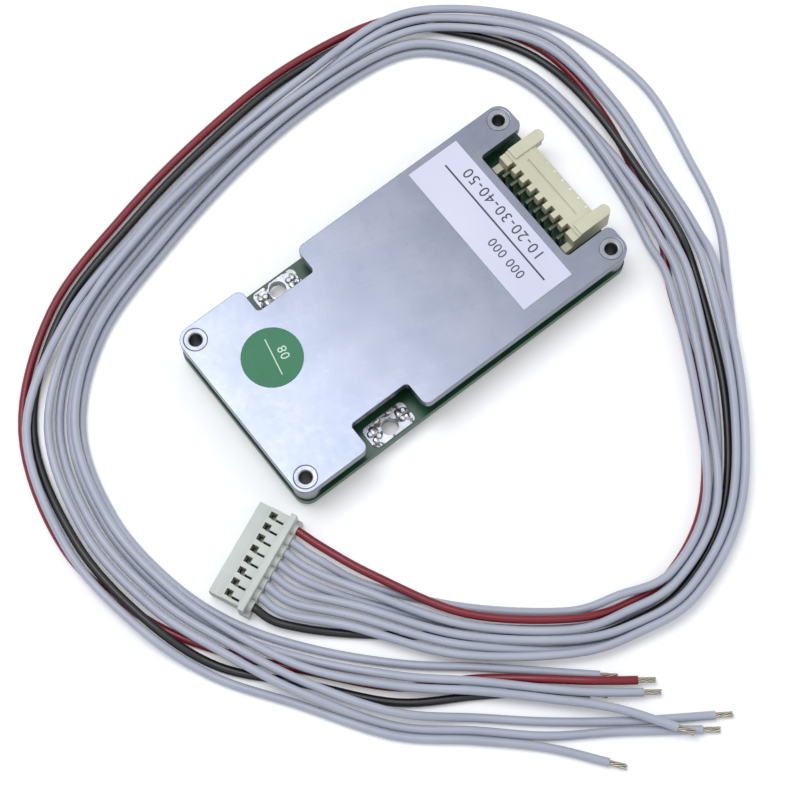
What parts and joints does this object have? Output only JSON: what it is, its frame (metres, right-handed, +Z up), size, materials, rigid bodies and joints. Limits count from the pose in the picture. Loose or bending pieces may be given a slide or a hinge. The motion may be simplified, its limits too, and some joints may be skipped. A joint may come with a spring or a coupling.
{
  "type": "battery management board",
  "caption": "Flat circuit board under a riveted aluminium heat plate, with a side-entry header, two lead pads in plate notches, and a multi-wire sense lead with its plug.",
  "frame": {"origin": "centre of the board module's footprint, on the surface that its rivet feet stand on", "axes": "+X along the board towards the header end, +Z up out of the heat plate"},
  "size_m": [0.1251, 0.1319, 0.0083],
  "materials": {
    "solder_mask": "satin",
    "aluminium": "satin",
    "rivet_metal": "satin",
    "solder": "gloss",
    "chip_body": "matte",
    "tinned_lead": "gloss",
    "thermal_silicone": "matte",
    "capacitor": "matte",
    "ivory_nylon": "satin",
    "white_nylon": "satin",
    "label_paper": "satin",
    "green_paper": "satin",
    "red_pvc": "satin",
    "white_pvc": "satin",
    "black_pvc": "satin",
    "tinned_strand": "satin"
  },
  "bodies": {
    "root": {"circuit_board": "solder_mask", "heat_plate": "aluminium", "corner_rivets": "rivet_metal", "spacer_sleeves": "rivet_metal", "battery_pad": "solder", "load_pad": "solder", "power_transistors": "chip_body", "transistor_leads": "tinned_lead", "thermal_pad": "thermal_silicone", "shunt_resistors": "chip_body", "bleed_resistors": "chip_body", "bleed_transistors": "chip_body", "filter_capacitors": "capacitor", "protection_chip": "chip_body", "chip_leads": "tinned_lead", "sense_resistors": "chip_body", "header_shell": "ivory_nylon", "header_pins": "tinned_lead", "pin_solder": "solder", "rating_label": "label_paper", "check_sticker": "green_paper", "plug_housing": "white_nylon", "plug_terminals": "tinned_lead", "wire_red": "red_pvc", "wire_white_1": "white_pvc", "wire_white_2": "white_pvc", "wire_white_3": "white_pvc", "wire_white_4": "white_pvc", "wire_white_5": "white_pvc", "wire_white_6": "white_pvc", "wire_black": "black_pvc", "bare_ends": "tinned_strand"}
  },
  "joints": []
}
